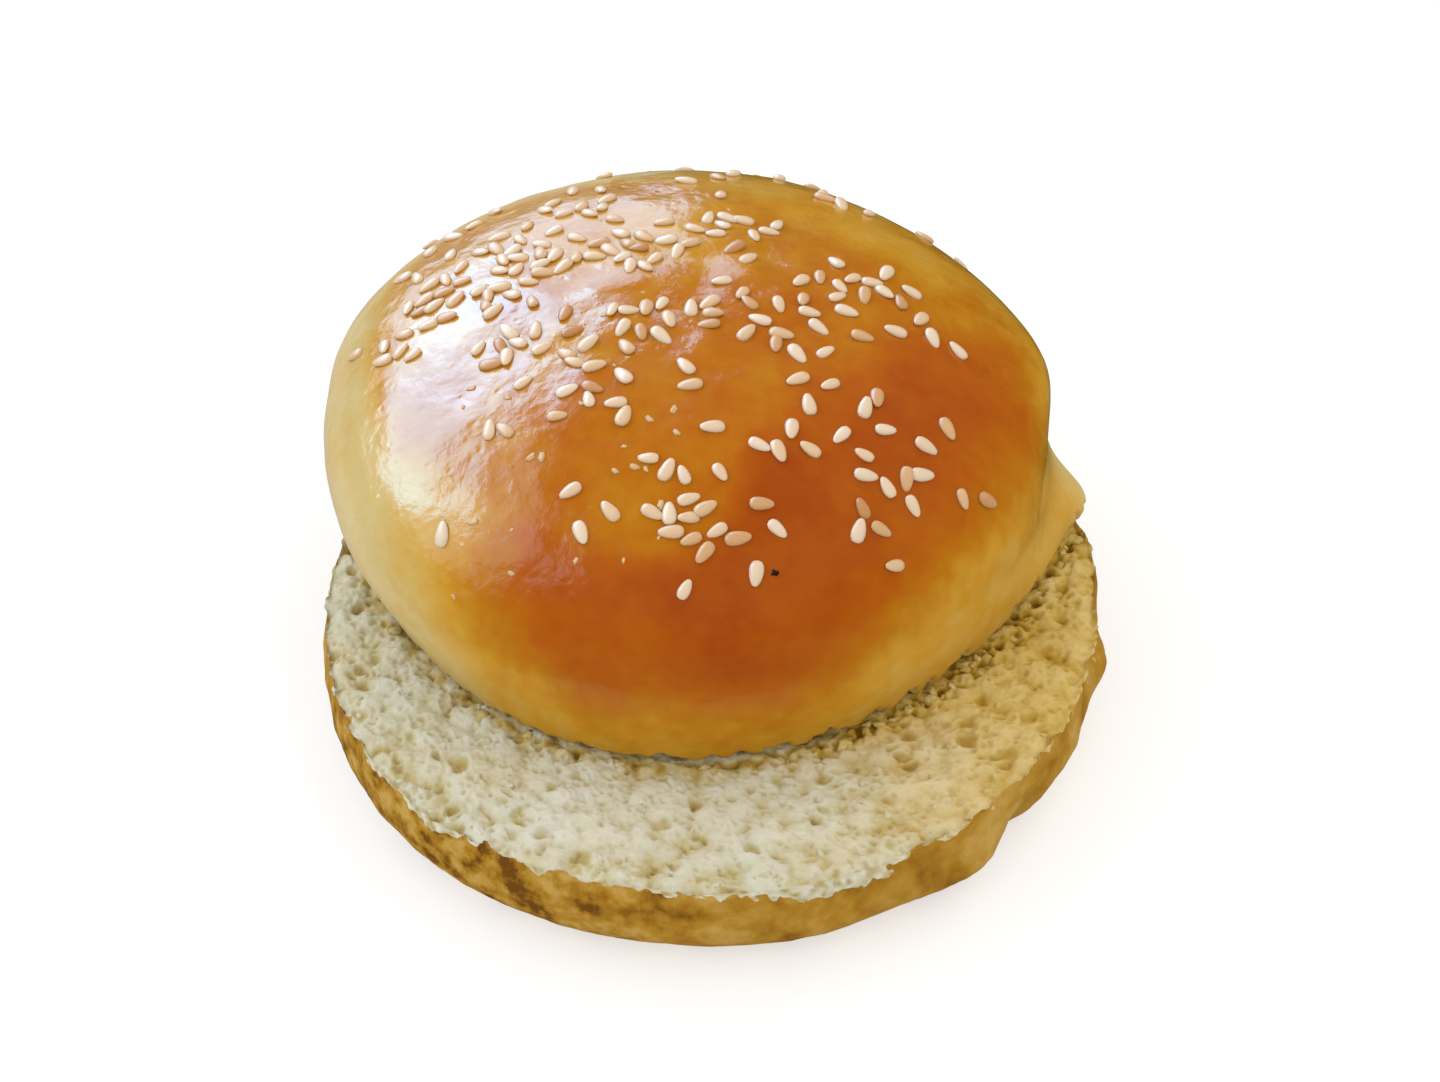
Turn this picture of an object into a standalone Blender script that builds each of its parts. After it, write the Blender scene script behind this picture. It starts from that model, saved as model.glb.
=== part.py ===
"""A sesame hamburger bun, cut in two, with its crown pushed back on its heel.

Units are metres and +Z is up. The origin is the middle of the heel's flat base. The crown's
cut face lies on the heel's, pushed back (+Y), so a crescent of crumb shows along the front.
Angles run anticlockwise seen from above: 0 is the right side and -90 is the front.
"""

import math
import random

import bmesh
import bpy
from mathutils import Matrix, Vector, noise
from mathutils.bvhtree import BVHTree

MM = 0.001

# Heel: a slab of crumb with crust round its side and under it
CUT_RADIUS = 50.0 * MM
HEEL_HEIGHT = 14.0 * MM
HEEL_BULGE = 0.8 * MM
HEEL_BULGE_HEIGHT = 8.0 * MM
FOOT_RADIUS = 44.5 * MM
EDGE_ROLL = 2.2 * MM
EDGE_DROP = 0.7 * MM
HEEL_TURN_STEPS = 150
HEEL_SIDE_STEPS = 10
CUT_RINGS = 38
HEEL_KEPT_FACES = 0.195
BASE_SNAP = 0.3 * MM

# Crown: a dome that is fullest a little above its cut face
CROWN_X = -1.9 * MM
CROWN_Y = 18.3 * MM
RIM_RADIUS = 46.4 * MM
CROWN_RADIUS = 48.6 * MM
CROWN_BULGE_HEIGHT = 11.0 * MM
CROWN_HEIGHT = 35.5 * MM
DOME_POWER = 2.25
HALVES_GAP = 0.3 * MM
CROWN_TURN_STEPS = 60
CROWN_SIDE_STEPS = 4
DOME_STEPS = 9

# Where each half swells (+) or is pinched (-): angle and its spread in degrees,
# then push, height above the half's own base and its spread in mm
CROWN_LOBES = (
    (0, 7, 5.1, 0, 4.2),
    (-10, 20, 2.6, 0, 5),
    (-8, 15, 1.4, 4, 4),
    (4, 20, -1.6, 14, 5),
    (5, 12, 1.7, 22, 6),
    (-90, 28, 1.5, 0, 10),
    (-150, 27, -2.5, 0, 8),
    (60, 32, -2.4, 19, 14),
    (184, 24, -0.9, 9, 9),
    (162, 12, 1.0, 22, 7),
    (115, 24, -0.8, 19, 12),
)
HEEL_LOBES = (
    (180, 34, -1.3, 10, 20),
    (14, 15, 2.6, 12, 9),
    (-8, 4, 1.9, 9, 4),
    (-22, 9, 0.8, 5, 5),
    (-39, 4, -1.4, 4, 5),
    (-49, 7, 1.5, 4, 4),
    (-75, 10, 0.5, 2, 4),
)

# Cut crumb: a few large holes as x, y and radius in mm, and gas bubbles left open by the knife,
# over a gently torn face
HOLES = (
    (-29.8, -29.6, 1.5),
    (-36.3, -24.9, 1.2),
    (-19.5, -40.7, 1.2),
    (-41.8, -10.8, 1.3),
    (5.5, -38.5, 1.0),
    (27.0, -31.5, 0.9),
)
BUBBLE_SEED = 4
BUBBLES = 90
BUBBLE_RADIUS = (0.6 * MM, 1.7 * MM)
BUBBLE_DEPTH = 0.8
TEAR_LENGTH = 11.0 * MM
TEAR_DEPTH = 0.5 * MM

# Sesame: pinches of seed as x and y from the crown's middle, spread in mm, and a count
SEED_DRAW = 11
SEED_LENGTH = 3.1 * MM
SEED_WIDTH = 1.7 * MM
SEED_THICKNESS = 1.0 * MM
SEED_SIZES = (0.85, 1.1)
SEED_TILT = 9
SEED_LIFT = 0.2 * MM
SEED_SPACING = 1.9 * MM
SEED_LIMIT = 45.0 * MM
SEED_TRIES = 40
SEED_SIDES = 5
SEED_RINGS = 3
SEED_FULLNESS = 1.1
SEED_TAPER = 0.5
PINCHES = (
    (0, -36, 3.3, 16),
    (4, -40, 6.0, 3),
    (23, -37, 2.6, 3),
    (28, -26, 4.0, 11),
    (39, -25, 1.0, 1),
    (18, -18, 3.6, 4),
    (27, -1, 5.0, 8),
    (9, -22, 3.6, 6),
    (-1, -19, 4.0, 4),
    (-11, -17, 2.8, 7),
    (-22, -21, 2.0, 2),
    (-15, -33, 3.0, 2),
    (-30, -31, 0.5, 1),
    (3, -5, 2.0, 5),
    (12, -2, 3.2, 10),
    (12, -11, 1.2, 2),
    (19, 4, 3.4, 10),
    (6, 12, 3.6, 14),
    (9, 26, 8.0, 6),
    (-6, -5, 2.6, 9),
    (-15, -9, 2.5, 8),
    (-23, -8, 2.0, 6),
    (-6, 11, 3.2, 11),
    (-16, 10, 3.0, 9),
    (-23, 11, 2.8, 9),
    (-22, 3, 2.8, 9),
    (-31, 5, 3.0, 11),
    (-37, -3, 3.4, 7),
    (-15, 22, 4.5, 11),
    (-27, 20, 5.0, 8),
    (-8, 36, 6.0, 4),
    (12, 37, 6.0, 4),
    (28, 22, 6.0, 4),
)

CRUST = (0.55, 0.20, 0.03, 1)
CRUMB = (0.72, 0.60, 0.36, 1)


def clear_scene():
    for obj in list(bpy.data.objects):
        bpy.data.objects.remove(obj)


def bread(name, colour, roughness):
    material = bpy.data.materials.new(name)
    material.use_nodes = True
    shader = material.node_tree.nodes["Principled BSDF"]
    shader.inputs["Base Color"].default_value = colour
    shader.inputs["Roughness"].default_value = roughness
    shader.inputs["Metallic"].default_value = 0
    return material


def bell(distance, spread):
    return math.exp(-((distance / spread) ** 2))


def swell(lobes, angle, height):
    """How far the side stands out from its round profile at this angle and height."""
    out = 0
    for middle, spread, push, level, reach in lobes:
        turn = (math.degrees(angle) - middle + 180) % 360 - 180
        out += push * MM * bell(turn, spread) * bell(height - level * MM, reach * MM)
    return out


def push_out(point, lobes, full):
    """Moves a point by its lobes, all the way at the full radius and not at all on the axis."""
    reach = math.hypot(point.x, point.y)
    if reach > 0:
        push = swell(lobes, math.atan2(point.y, point.x), point.z)
        grow = 1 + push / reach * (reach / full) ** 2
        point.x *= grow
        point.y *= grow


def crown_profile():
    """Radius and height above the cut face, from the top of the dome down to the rim."""
    points = []
    for i in range(DOME_STEPS + 1):
        turn = math.pi / 2 * i / DOME_STEPS
        radius = CROWN_RADIUS * math.sin(turn) ** (2 / DOME_POWER)
        rise = (CROWN_HEIGHT - CROWN_BULGE_HEIGHT) * max(0.0, math.cos(turn)) ** (2 / DOME_POWER)
        points.append((radius, CROWN_BULGE_HEIGHT + rise))
    for i in range(1, CROWN_SIDE_STEPS + 1):
        height = CROWN_BULGE_HEIGHT * (1 - i / CROWN_SIDE_STEPS)
        fullness = math.sin(math.pi / 2 * height / CROWN_BULGE_HEIGHT)
        points.append((RIM_RADIUS + (CROWN_RADIUS - RIM_RADIUS) * fullness, height))
    return points


def heel_profile():
    """Radius and height, from the cut edge down the crust to the edge of the flat foot."""
    points = []
    full = CUT_RADIUS + HEEL_BULGE
    for i in range(HEEL_SIDE_STEPS + 1):
        height = HEEL_HEIGHT * (1 - i / HEEL_SIDE_STEPS)
        if height > HEEL_BULGE_HEIGHT:
            share = (height - HEEL_BULGE_HEIGHT) / (HEEL_HEIGHT - HEEL_BULGE_HEIGHT)
            radius = full - HEEL_BULGE * share**2
        else:
            share = height / HEEL_BULGE_HEIGHT
            radius = FOOT_RADIUS + (full - FOOT_RADIUS) * math.sqrt(1 - (1 - share) ** 2)
        points.append((radius, height))
    return points


def turned(name, profile, steps):
    """A closed body turned from a profile that runs down its outer side from axis to axis."""
    mesh = bpy.data.meshes.new(name)
    points = [(radius, 0, height) for radius, height in profile]
    mesh.from_pydata(points, [(i, i + 1) for i in range(len(points) - 1)], [])
    obj = bpy.data.objects.new(name, mesh)
    bpy.context.scene.collection.objects.link(obj)
    screw = obj.modifiers.new("turn", "SCREW")
    screw.steps = screw.render_steps = steps
    screw.use_merge_vertices = True
    screw.merge_threshold = 0.01 * MM
    bake(obj)
    return obj


def bake(obj):
    """Applies the object's modifiers to its mesh."""
    bpy.context.view_layer.update()
    evaluated = obj.evaluated_get(bpy.context.evaluated_depsgraph_get())
    made = bpy.data.meshes.new_from_object(evaluated)
    obj.modifiers.clear()
    obj.data = made


def draw_bubbles():
    """Middle and radius of each open bubble: the few large holes, then many small ones."""
    draw = random.Random(BUBBLE_SEED)
    small, large = BUBBLE_RADIUS
    bubbles = [(Vector((x, y)) * MM, radius * MM) for x, y, radius in HOLES]
    for _ in range(BUBBLES):
        reach = CUT_RADIUS * math.sqrt(draw.random())
        angle = math.tau * draw.random()
        radius = small + (large - small) * draw.random() ** 3
        middle = Vector((reach * math.cos(angle), reach * math.sin(angle)))
        bubbles.append((middle, radius))
    return bubbles


def crumb_depth(place, bubbles):
    """How far the crumb lies below the flat of the cut at this place."""
    wave = noise.noise(Vector((place.x, place.y, 0)) / TEAR_LENGTH)
    depth = TEAR_DEPTH * (0.5 + 0.5 * wave)
    for middle, radius in bubbles:
        near = (place - middle).length / radius
        if near < 1:
            depth = max(depth, radius * BUBBLE_DEPTH * math.sqrt(1 - near**2))
    return depth


def build_heel():
    """The turned slab with its uneven side, then the torn and bubbled cut, thinned to few faces."""
    top = [(CUT_RADIUS * i / CUT_RINGS, HEEL_HEIGHT) for i in range(CUT_RINGS)]
    foot = [(FOOT_RADIUS / 2, 0), (0, 0)]
    heel = turned("bun_heel", top + heel_profile() + foot, HEEL_TURN_STEPS)
    bubbles = draw_bubbles()
    for vertex in heel.data.vertices:
        point = vertex.co
        inset = CUT_RADIUS - math.hypot(point.x, point.y)
        cut = point.z > HEEL_HEIGHT - BASE_SNAP
        push_out(point, HEEL_LOBES, CUT_RADIUS)
        if cut:
            roll = max(0, 1 - inset / EDGE_ROLL)
            sunk = crumb_depth(Vector((point.x, point.y)), bubbles)
            point.z -= sunk * (1 - roll) + EDGE_DROP * roll**2
    thin = heel.modifiers.new("thin", "DECIMATE")
    thin.ratio = HEEL_KEPT_FACES
    bake(heel)
    for vertex in heel.data.vertices:
        if vertex.co.z < BASE_SNAP:
            vertex.co.z = 0
    heel.data.materials.append(bread("bun_crumb", CRUMB, 0.9))
    return heel


def build_crown():
    """The turned dome with its uneven side, lying back on the heel."""
    under = [(RIM_RADIUS * 2 / 3, 0), (RIM_RADIUS / 3, 0), (0, 0)]
    crown = turned("bun_crown", crown_profile() + under, CROWN_TURN_STEPS)
    for vertex in crown.data.vertices:
        push_out(vertex.co, CROWN_LOBES, CROWN_RADIUS)
    crown.data.transform(Matrix.Translation((CROWN_X, CROWN_Y, HEEL_HEIGHT + HALVES_GAP)))
    crown.data.materials.append(bread("bun_crust", CRUST, 0.35))
    return crown


def draw_seeds():
    """Plan place, heading, tilt and size of each seed, no two closer than the spacing."""
    draw = random.Random(SEED_DRAW)
    seeds = []
    for x, y, spread, count in PINCHES:
        for _ in range(count):
            for _ in range(SEED_TRIES):
                place = Vector((draw.gauss(x, spread), draw.gauss(y, spread))) * MM
                clear = all((place - seed[0]).length > SEED_SPACING for seed in seeds)
                if clear and place.length < SEED_LIMIT:
                    break
            else:
                continue
            heading = draw.uniform(0, math.tau)
            tilt = math.radians(draw.uniform(-SEED_TILT, SEED_TILT))
            size = draw.uniform(*SEED_SIZES)
            seeds.append((place, heading, tilt, size))
    return seeds


def build_seed(place, heading, tilt, size, dome):
    """A flat teardrop lying on the dome, sunk almost to its middle."""
    above = Vector((CROWN_X + place.x, CROWN_Y + place.y, 1))
    spot, normal, _, _ = dome.ray_cast(above, Vector((0, 0, -1)))
    shape = bmesh.new()
    bmesh.ops.create_uvsphere(shape, u_segments=SEED_SIDES, v_segments=SEED_RINGS, radius=0.5)
    for vertex in shape.verts:
        across, high, along = vertex.co
        full = SEED_FULLNESS - SEED_TAPER * along
        teardrop = (along * SEED_LENGTH, across * SEED_WIDTH * full, high * SEED_THICKNESS * full)
        vertex.co = Vector(teardrop) * size
    bmesh.ops.recalc_face_normals(shape, faces=shape.faces)
    mesh = bpy.data.meshes.new("seed")
    shape.to_mesh(mesh)
    shape.free()
    lie = Matrix.Rotation(heading, 4, "Z") @ Matrix.Rotation(tilt, 4, "Y")
    stand = normal.to_track_quat("Z", "Y").to_matrix().to_4x4()
    mesh.transform(Matrix.Translation(spot + normal * SEED_LIFT) @ stand @ lie)
    return bpy.data.objects.new("seed", mesh)


def fuse_seeds(crown):
    """Joins every seed to the dome by one Boolean union."""
    crown.data.update()
    dome = BVHTree.FromObject(crown, bpy.context.evaluated_depsgraph_get())
    seeds = bpy.data.collections.new("seeds")
    bpy.context.scene.collection.children.link(seeds)
    for place, heading, tilt, size in draw_seeds():
        seeds.objects.link(build_seed(place, heading, tilt, size, dome))
    union = crown.modifiers.new("fuse", "BOOLEAN")
    union.operation = "UNION"
    union.operand_type = "COLLECTION"
    union.collection = seeds
    bake(crown)
    for seed in list(seeds.objects):
        bpy.data.objects.remove(seed)
    bpy.data.collections.remove(seeds)


def main():
    clear_scene()
    build_heel()
    crown = build_crown()
    fuse_seeds(crown)


main()
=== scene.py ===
import math
import random

import bpy
import numpy as np
from mathutils import Matrix, Vector, noise


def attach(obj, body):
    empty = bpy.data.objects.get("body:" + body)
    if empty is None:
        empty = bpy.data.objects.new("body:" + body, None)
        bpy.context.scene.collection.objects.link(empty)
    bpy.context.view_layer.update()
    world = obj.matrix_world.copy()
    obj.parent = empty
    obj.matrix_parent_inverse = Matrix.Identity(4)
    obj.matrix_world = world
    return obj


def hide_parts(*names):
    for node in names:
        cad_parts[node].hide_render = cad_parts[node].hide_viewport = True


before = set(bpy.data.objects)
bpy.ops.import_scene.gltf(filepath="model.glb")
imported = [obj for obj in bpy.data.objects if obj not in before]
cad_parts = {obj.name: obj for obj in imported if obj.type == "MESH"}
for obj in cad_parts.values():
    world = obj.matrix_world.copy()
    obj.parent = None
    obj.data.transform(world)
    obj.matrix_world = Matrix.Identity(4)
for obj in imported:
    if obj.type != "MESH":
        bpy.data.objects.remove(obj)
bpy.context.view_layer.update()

MM = 0.001


# The photograph's view
# A camera on a stand looks down on the bun from the front at about 44 degrees, from 380 mm away.
# The bun sits a little low and left in its frame, which a small shift of the lens gives.

LOOK_AT = Vector((0, 0, 14.0 * MM))
VIEW_ELEVATION = math.radians(43.6)
VIEW_DISTANCE = 380 * MM
LENS = 72.8
SENSOR_WIDTH = 36
LENS_SHIFT = (0.0125, 0.0389)
NEAREST = 10 * MM

eye = LOOK_AT + VIEW_DISTANCE * Vector((0, -math.cos(VIEW_ELEVATION), math.sin(VIEW_ELEVATION)))
bpy.ops.object.camera_add(location=eye, rotation=(math.pi / 2 - VIEW_ELEVATION, 0, 0))
camera = bpy.context.object
camera.data.lens = LENS
camera.data.sensor_width = SENSOR_WIDTH
camera.data.shift_x, camera.data.shift_y = LENS_SHIFT
camera.data.clip_start = NEAREST
bpy.context.scene.camera = camera


# Studio
# A sheet of white acrylic lit from beneath, a wide window to the left, a little behind the bun,
# whose cool daylight makes the gloss on the crust, and soft warmer light from behind and right.

TABLE_SIZE = 6.0
TABLE_DROP = 0.2 * MM


def linear(code):
    """The linear colour, with alpha 1, of an sRGB hex colour."""
    channels = [int(code[i : i + 2], 16) / 255 for i in (1, 3, 5)]
    return tuple(c / 12.92 if c <= 0.04045 else ((c + 0.055) / 1.055) ** 2.4 for c in channels) + (1,)


def add(tree, kind, inputs, stops=(), **settings):
    """Adds a node with its settings. Each input is a value or the output that it is linked to."""
    node = tree.nodes.new("ShaderNode" + kind)
    for name, value in settings.items():
        setattr(node, name, value)
    for name, value in inputs.items():
        if isinstance(value, bpy.types.NodeSocket):
            tree.links.new(value, node.inputs[name])
        else:
            node.inputs[name].default_value = value
    for place, colour in stops[2:]:
        node.color_ramp.elements.new(place)
    for stop, (place, colour) in zip(node.color_ramp.elements if stops else (), stops):
        stop.position = place
        stop.color = linear(colour)
    return node


def blank_material(name):
    """A new material with its Principled shader, and its node tree."""
    material = bpy.data.materials.new(name)
    material.use_nodes = True
    return material, material.node_tree, material.node_tree.nodes["Principled BSDF"]


def shine(name, azimuth, elevation, distance, size, radiance, colour, shows_in="all"):
    """A rectangular light, this many metres away at this azimuth from +Y towards +X.

    It is turned to the bun, and shows in all of its look, in its gloss or in its matt shades.
    """
    azimuth, elevation = math.radians(azimuth), math.radians(elevation)
    flat = Vector((math.sin(azimuth), math.cos(azimuth), 0)) * math.cos(elevation)
    place = distance * (flat + Vector((0, 0, math.sin(elevation))))
    turn = place.to_track_quat("Z", "Y").to_euler()
    bpy.ops.object.light_add(type="AREA", location=place + LOOK_AT, rotation=turn)
    light = bpy.context.object
    light.name = name
    light.data.shape = "RECTANGLE"
    light.data.size, light.data.size_y = size
    light.data.energy = radiance * math.pi * size[0] * size[1]
    light.data.color = linear(colour)[:3]
    light.visible_diffuse = shows_in != "gloss"
    light.visible_glossy = shows_in != "matt"


bpy.ops.object.select_all(action="DESELECT")
bpy.ops.mesh.primitive_plane_add(size=TABLE_SIZE, location=(0, 0, -TABLE_DROP))
floor = bpy.context.object
floor.name = "white_table"
# Acrylic lit from beneath: matt and white, with its own glow, so the bun's shadow stays faint.
table, _, table_shader = blank_material("lit_white_acrylic")
table_shader.inputs["Base Color"].default_value = linear("#b4b4b4")
table_shader.inputs["Roughness"].default_value = 0.8
table_shader.inputs["Specular IOR Level"].default_value = 0.1
table_shader.inputs["Emission Color"].default_value = linear("#ffffff")
table_shader.inputs["Emission Strength"].default_value = 0.55
floor.data.materials.append(table)
floor.visible_glossy = False

shine("window", -75, 38, 1.2, (1.9, 1.1), 1.75, "#f0f4ff")
shine("window_glare", -54, 35, 1.19, (1.5, 0.66), 10, "#88ccf8", shows_in="gloss")
shine("second_window_glare", -20, 22, 1.49, (1.0, 1.0), 4.5, "#b0d6ff", shows_in="gloss")
shine("curtain", 20, 32, 1.5, (2.2, 1.2), 0.55, "#fff6ea", shows_in="matt")
shine("table_behind", -38, -35, 0.9, (1.2, 0.9), 0.6, "#fff2d8", shows_in="gloss")
shine("room", 75, 50, 1.2, (1.6, 1.2), 1.1, "#fff6ea", shows_in="matt")
shine("front", 180, 45, 1.3, (1.8, 1.2), 1.15, "#fffaf4", shows_in="matt")

world = bpy.data.worlds.new("room")
bpy.context.scene.world = world
world.use_nodes = True
world.node_tree.nodes["Background"].inputs["Color"].default_value = linear("#f6f4f0")
world.node_tree.nodes["Background"].inputs["Strength"].default_value = 0.5
world.cycles_visibility.glossy = False
bpy.context.scene.view_settings.view_transform = "Standard"


# Heel
# The lower half of the bun: a slab of white crumb with a thin golden crust round its side and
# under it. The knife left its top open: torn tufts, small pores and a few gas bubbles.

CUT_RADIUS = 50.0 * MM
HEEL_HEIGHT = 14.0 * MM
HEEL_BULGE = 0.8 * MM
HEEL_BULGE_HEIGHT = 8.0 * MM
FOOT_RADIUS = 44.5 * MM
FOOT_RINGS = (1, 0.66, 0.33, 0)
EDGE_ROLL = 2.2 * MM
EDGE_DROP = 0.7 * MM
# A lobe's angle and spread in degrees, its push outwards, its height and its reach in mm.
HEEL_LOBES = (
    (180, 34, -1.3, 10, 20),
    (14, 15, 2.6, 12, 9),
    (-8, 4, 1.9, 9, 4),
    (-22, 9, 0.8, 5, 5),
    (-39, 4, -1.4, 4, 5),
    (-49, 7, 1.5, 4, 4),
    (-75, 10, 0.5, 2, 4),
)
BUBBLE_SEED = 4
BUBBLES = 90
BUBBLE_RADIUS = (0.6 * MM, 1.7 * MM)
BUBBLE_DEPTH = 0.8
# The place and radius of each large hole, in mm.
HOLES = (
    (-29.8, -29.6, 1.5),
    (-36.3, -24.9, 1.2),
    (-19.5, -40.7, 1.2),
    (-41.8, -10.8, 1.3),
    (5.5, -38.5, 1.0),
    (27.0, -31.5, 0.9),
)
BEND_DRAW = 7
TEAR_LENGTH = 11.0 * MM
TEAR_DEPTH = 0.5 * MM
LUMP_SIZE = 2.9 * MM
LUMP_DEPTH = 0.75 * MM
FINE_PORE = 1.0 * MM
FINE_DEPTH = 0.32 * MM
FINE_SHUT = 0.2
COARSE_PORE = 2.0 * MM
COARSE_DEPTH = 0.62 * MM
COARSE_SHUT = 0.75
GRAIN_SIZE = 0.5 * MM
GRAIN_DEPTH = 0.13 * MM
SMALL_BEND = 0.5 * MM
SMALL_BEND_SIZE = 1.4 * MM
WIDE_BEND = 0.8 * MM
WIDE_BEND_SIZE = 2.4 * MM
PORE_WALL = 0.06
PORE_SLOPE = 0.4
DEEPEST = 1.85 * MM
CROWN_X = -1.9 * MM
CROWN_Y = 18.3 * MM
RIM_RADIUS = 46.4 * MM
# Lobes as the heel's. The first three are the flare that stands out at the crown's right.
CROWN_LOBES = (
    (0, 7, 5.1, 0, 4.2),
    (-10, 20, 2.6, 0, 5),
    (-8, 15, 1.4, 4, 4),
    (4, 20, -1.6, 14, 5),
    (5, 12, 1.7, 22, 6),
    (-90, 28, 1.5, 0, 10),
    (-150, 27, -2.5, 0, 8),
    (60, 32, -2.4, 19, 14),
    (184, 24, -0.9, 9, 9),
    (162, 12, 1.0, 22, 7),
    (115, 24, -0.8, 19, 12),
)
RIM_RUB = 2.0 * MM
RUB_MIDDLE = 0.8 * MM
RUB_ANGLE = -38
RUB_SPREAD = 38
PIT_SIZE = 1.1 * MM
PIT_DEPTH = 0.8 * MM
# The crumb turns yellower and darker towards the right: partly drier crumb, partly painted shade.
DRY_SHADE_LEAST = 0.09
DRY_SHADE_FROM = -10 * MM
DRY_SHADE_WIDTH = 36 * MM
CRUMB_FROM = 26.0 * MM
CORE_STEP = 3.0 * MM
CRUMB_STEP = 0.26 * MM
CRUST_STEP = 0.45 * MM
SHOWN_FROM = 160
SHOWN_ARC = 220
SHOWN_STEPS = 620
HIDDEN_STEPS = 48
WELD = 0.002 * MM
FLAT = 0.01 * MM
EDGE_REACH = 4.0 * MM
EDGE_FRAY = 0.4 * MM
WIDE_FRAY = 1.3 * MM
WIDE_FRAY_SIZE = 2.6 * MM
SMALL_FRAY = 0.9 * MM
SMALL_FRAY_SIZE = 1.1 * MM
# A tuft's angle and spread in degrees, and how far it hangs down over the crust in mm.
TUFTS = (
    (-73, 7, 3.0),
    (-64, 4, 1.4),
    (-88, 9, 0.9),
    (-131, 6, 2.0),
    (-143, 5, 1.2),
    (-20, 14, 1.0),
    (-52, 5, 1.0),
)
TUFT_THICKNESS = 0.45 * MM
TUFT_FLUFF = 0.5 * MM
TUFT_FLUFF_SIZE = 0.9 * MM
PILLOW_HEIGHT = 0.9 * MM
PILLOW_SIZE = 2.3 * MM
SMALL_DENT = 0.12 * MM
SMALL_DENT_SIZE = 1.5 * MM
WIDE_DENT = 0.3 * MM
WIDE_DENT_SIZE = 4.5 * MM
# A band along the crown's rim, painted darker and yellower: torn crumb, and painted shade where the
# crown sits on the heel.
RIM_SHADE_MIDDLE = 0.3 * MM
RIM_SHADE_WIDTH = 1.2 * MM
RIM_SHADE_SIZE = 2.2 * MM
DRY_PATCH = 8 * MM
SCORCH_ANGLE = -130
SCORCH_SPREAD = 34


def swell(lobes, angle, height):
    """How far the side stands out from its round profile at each angle and height."""
    out = np.zeros(len(angle))
    for middle, spread, push, level, reach in lobes:
        turn = (np.degrees(angle) - middle + 180) % 360 - 180
        out += push * MM * np.exp(-((turn / spread) ** 2) - ((height / MM - level) / reach) ** 2)
    return out


def push_out(points, lobes, full):
    """Moves points by their lobes, all the way at the full radius and not at all on the axis."""
    reach = np.maximum(np.hypot(points[:, 0], points[:, 1]), 0.001 * MM)
    push = swell(lobes, np.arctan2(points[:, 1], points[:, 0]), points[:, 2])
    grow = 1 + push / reach * (reach / full) ** 2
    points[:, :2] *= grow[:, None]


def near_angle(angle, middle, spread, power):
    """From 1 at the middle angle down to 0 well past the spread, sharper for a high power."""
    return np.exp(-(np.abs(((angle - middle + 180) % 360 - 180) / spread) ** power))


def points_of(piece):
    """The places of the piece's points, one row each."""
    flat = np.empty(len(piece.data.vertices) * 3)
    piece.data.vertices.foreach_get("co", flat)
    return flat.reshape(-1, 3)


def put_points(piece, points):
    """Moves the piece's points to these places."""
    piece.data.vertices.foreach_set("co", points.ravel())
    piece.data.update()


def paint(piece, name, values):
    """Keeps a number for each point of the piece, which its material reads by this name."""
    piece.data.attributes.new(name, "FLOAT", "POINT").data.foreach_set("value", values)


def draw_profile(name, outline, degrees):
    """One point of a plane, extruded down the outline of radius and height at this angle."""
    around = Matrix.Rotation(math.radians(degrees), 3, "Z")
    places = [around @ Vector((radius, 0, height)) for radius, height in outline]
    bpy.ops.object.select_all(action="DESELECT")
    bpy.ops.mesh.primitive_plane_add(size=1 * MM)
    piece = bpy.context.object
    piece.name = name
    bpy.ops.object.mode_set(mode="EDIT")
    bpy.ops.mesh.merge(type="CENTER")
    bpy.ops.transform.translate(value=places[0])
    for start, end in zip(places, places[1:]):
        bpy.ops.mesh.extrude_vertices_move(TRANSFORM_OT_translate={"value": end - start})
    bpy.ops.object.mode_set(mode="OBJECT")
    return piece


def turn(piece, degrees, count):
    """Turns the profile about the upright axis, in this many steps."""
    screw = piece.modifiers.new("turn", "SCREW")
    screw.angle = math.radians(degrees)
    screw.steps = screw.render_steps = count
    bpy.ops.object.modifier_apply(modifier=screw.name)


def close_turned():
    """Welds a turned shape's seams and poles and turns its faces outwards."""
    bpy.ops.object.mode_set(mode="EDIT")
    bpy.ops.mesh.select_all(action="SELECT")
    bpy.ops.mesh.remove_doubles(threshold=WELD)
    bpy.ops.mesh.normals_make_consistent(inside=False)
    bpy.ops.object.mode_set(mode="OBJECT")
    bpy.ops.object.shade_smooth()


def steps(start, end, step):
    """Places from start up to but not including end, a step apart at most."""
    return np.linspace(start, end, math.ceil(abs(end - start) / step), endpoint=False)


def rough(points, size, shown=None):
    """Smooth noise from -1 to 1 at each point, with features of this size."""
    out = np.zeros(len(points))
    for i in range(len(points)) if shown is None else np.flatnonzero(shown):
        out[i] = noise.noise(Vector(points[i]) / size)
    return out


def heel_side(height):
    """Radius of the heel's side at a height, fullest at the bulge and tucked in at the foot."""
    full = CUT_RADIUS + HEEL_BULGE
    if height > HEEL_BULGE_HEIGHT:
        above = (height - HEEL_BULGE_HEIGHT) / (HEEL_HEIGHT - HEEL_BULGE_HEIGHT)
        return full - HEEL_BULGE * above**2
    return FOOT_RADIUS + (full - FOOT_RADIUS) * math.sqrt(1 - (1 - height / HEEL_BULGE_HEIGHT) ** 2)


def draw_bubbles():
    """Middle and radius of each open bubble: the few large holes, then many small ones."""
    draw = random.Random(BUBBLE_SEED)
    small, large = BUBBLE_RADIUS
    bubbles = [(x * MM, y * MM, radius * MM) for x, y, radius in HOLES]
    for _ in range(BUBBLES):
        reach = CUT_RADIUS * math.sqrt(draw.random())
        angle = math.tau * draw.random()
        radius = small + (large - small) * draw.random() ** 3
        bubbles.append((reach * math.cos(angle), reach * math.sin(angle), radius))
    return bubbles


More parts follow.
